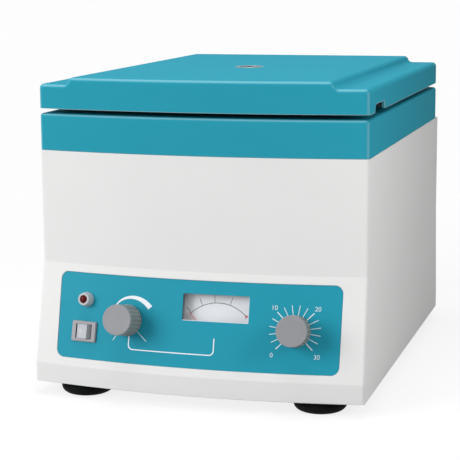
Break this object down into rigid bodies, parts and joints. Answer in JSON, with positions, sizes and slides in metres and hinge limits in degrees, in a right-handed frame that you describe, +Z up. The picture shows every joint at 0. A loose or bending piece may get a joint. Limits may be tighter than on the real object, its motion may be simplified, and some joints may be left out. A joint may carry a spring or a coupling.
{
  "type": "cytocentrifuge",
  "caption": "Low-speed bench cytocentrifuge: bowed housing with a leaning console, rear-hinged lid, and a swing-out rotor whose carriers hold slides.",
  "frame": {"origin": "centre of the footprint, on the surface that the feet stand on", "axes": "+X to the operator's right, -Y out of the console, +Z up"},
  "size_m": [0.3066, 0.4267, 0.2887],
  "materials": {
    "white_abs": "satin moulded",
    "teal_abs": "satin moulded",
    "panel_teal": "satin printed overlay",
    "zinc_steel": "zinc plated",
    "foot_rubber": "matte",
    "bowl_steel": "brushed",
    "seal_rubber": "matte",
    "motor_paint": "satin",
    "cast_aluminium": "cast",
    "board_epoxy": "solder mask",
    "grey_plastic": "satin",
    "red_lens": "tinted, clear",
    "meter_white": "matte",
    "clear_acrylic": "polished, clear",
    "black_plastic": "fine texture",
    "bright_steel": "polished",
    "liner_plastic": "satin",
    "bright_rim": "turned, bright",
    "dark_glass": "smoked, clear",
    "magnet_iron": "dull",
    "knob_plastic": "satin",
    "knob_cap_grey": "satin",
    "rocker_plastic": "satin",
    "needle_red": "satin",
    "rotor_aluminium": "anodised",
    "slide_glass": "polished, clear",
    "funnel_plastic": "translucent"
  },
  "bodies": {
    "chassis": {"base_plate": "zinc_steel", "bowl_boot": "seal_rubber", "chamber_bowl": "bowl_steel", "chamber_gasket": "seal_rubber", "control_board": "board_epoxy", "control_panel": "panel_teal", "feet": "foot_rubber", "foot_screws": "zinc_steel", "frame_hinges": "bright_steel", "fuse_drawer": "black_plastic", "heat_sink": "cast_aluminium", "hinge_pins": "bright_steel", "housing": "white_abs", "lamp_bezel": "grey_plastic", "lamp_lens": "red_lens", "meter_case": "meter_white", "meter_dial": "meter_white", "meter_window": "clear_acrylic", "motor_bell": "cast_aluminium", "motor_bolts": "zinc_steel", "motor_can": "motor_paint", "motor_mounts": "foot_rubber", "motor_plate": "zinc_steel", "power_inlet": "black_plastic", "reed_switch": "black_plastic", "speed_potentiometer": "zinc_steel", "switch_body": "grey_plastic", "timer_movement": "grey_plastic", "top_frame": "teal_abs"},
    "lid": {"lid": "teal_abs", "lid_liner": "liner_plastic", "sight_bezel": "bright_rim", "sight_glass": "dark_glass", "lid_hinges": "bright_steel", "lid_magnet": "magnet_iron"},
    "rotor": {"drive_shaft": "zinc_steel", "armature": "magnet_iron", "rotor_head": "rotor_aluminium", "rotor_nut": "bright_steel"},
    "speed_control": {"speed_knob": "knob_plastic", "speed_knob_cap": "knob_cap_grey", "speed_spindle": "zinc_steel"},
    "timer_control": {"timer_knob": "knob_plastic", "timer_knob_cap": "knob_cap_grey", "timer_spindle": "zinc_steel"},
    "power_rocker": {"rocker": "rocker_plastic"},
    "speed_needle": {"meter_needle": "needle_red"},
    "carrier_1": {"carrier_bracket_1": "bowl_steel", "glass_slide_1": "slide_glass", "sample_funnel_1": "funnel_plastic"},
    "carrier_2": {"carrier_bracket_2": "bowl_steel", "glass_slide_2": "slide_glass", "sample_funnel_2": "funnel_plastic"},
    "carrier_3": {"carrier_bracket_3": "bowl_steel", "glass_slide_3": "slide_glass", "sample_funnel_3": "funnel_plastic"},
    "carrier_4": {"carrier_bracket_4": "bowl_steel", "glass_slide_4": "slide_glass", "sample_funnel_4": "funnel_plastic"}
  },
  "joints": [
    {"name": "lid_hinge", "type": "hinge", "parent": "chassis", "child": "lid", "pos_m": [0, 0.20129, 0.25755], "axis": [-1, 0, 0], "range_deg": [0, 100]},
    {"name": "rotor_spin", "type": "hinge", "parent": "chassis", "child": "rotor", "pos_m": [0, -0.00411, 0.222], "axis": [0, 0, 1], "continuous": true},
    {"name": "speed_knob_turn", "type": "hinge", "parent": "chassis", "child": "speed_control", "pos_m": [-0.06227, -0.18726, 0.07392], "axis": [0.0731, 0.9694, -0.2343], "range_deg": [0, 270]},
    {"name": "timer_knob_turn", "type": "hinge", "parent": "chassis", "child": "timer_control", "pos_m": [0.09126, -0.18479, 0.07295], "axis": [-0.1072, 0.9664, -0.2336], "range_deg": [0, 270]},
    {"name": "power_rocker_tilt", "type": "hinge", "parent": "chassis", "child": "power_rocker", "pos_m": [-0.10389, -0.18329, 0.0601], "axis": [0.0294, 0.2313, 0.9724], "range_deg": [0, 24]},
    {"name": "speed_needle_swing", "type": "hinge", "parent": "chassis", "child": "speed_needle", "pos_m": [0.01971, -0.1846, 0.05703], "axis": [-0.0232, 0.9718, -0.2349], "range_deg": [0, 90]},
    {"name": "carrier_swing_1", "type": "hinge", "parent": "rotor", "child": "carrier_1", "pos_m": [0.06, -0.00411, 0.222], "axis": [0, -1, 0], "range_deg": [0, 90]},
    {"name": "carrier_swing_2", "type": "hinge", "parent": "rotor", "child": "carrier_2", "pos_m": [0, 0.05589, 0.222], "axis": [1, 0, 0], "range_deg": [0, 90]},
    {"name": "carrier_swing_3", "type": "hinge", "parent": "rotor", "child": "carrier_3", "pos_m": [-0.06, -0.00411, 0.222], "axis": [0, 1, 0], "range_deg": [0, 90]},
    {"name": "carrier_swing_4", "type": "hinge", "parent": "rotor", "child": "carrier_4", "pos_m": [0, -0.06411, 0.222], "axis": [-1, 0, 0], "range_deg": [0, 90]}
  ]
}
